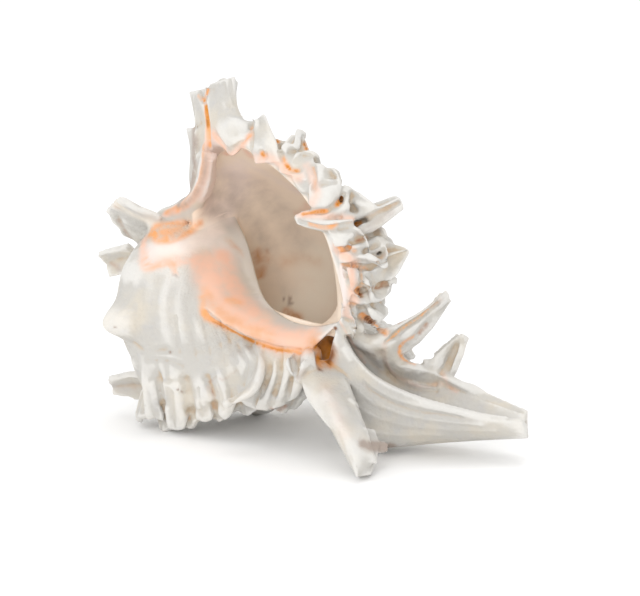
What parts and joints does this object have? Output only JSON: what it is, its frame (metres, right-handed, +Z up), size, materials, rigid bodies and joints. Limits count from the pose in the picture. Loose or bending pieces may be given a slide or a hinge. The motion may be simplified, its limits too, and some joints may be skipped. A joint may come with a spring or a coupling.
{
  "type": "murex shell",
  "caption": "Large murex sea shell lying with its open mouth up and forward, with fluted fronds along its lip and a long folded siphonal canal",
  "frame": {"origin": "on the floor under the middle of the bounding box", "axes": "+Z is up as the shell rests, and +Y is the way the picture's view looks, so the mouth faces -Y and the canal points towards +X"},
  "size_m": [0.1278, 0.1222, 0.108],
  "materials": {
    "shell": "chalky off-white outside, satin pink-orange on the lip and columella, smooth beige inside"
  },
  "bodies": {
    "root": {"murex_shell": "shell"}
  },
  "joints": []
}
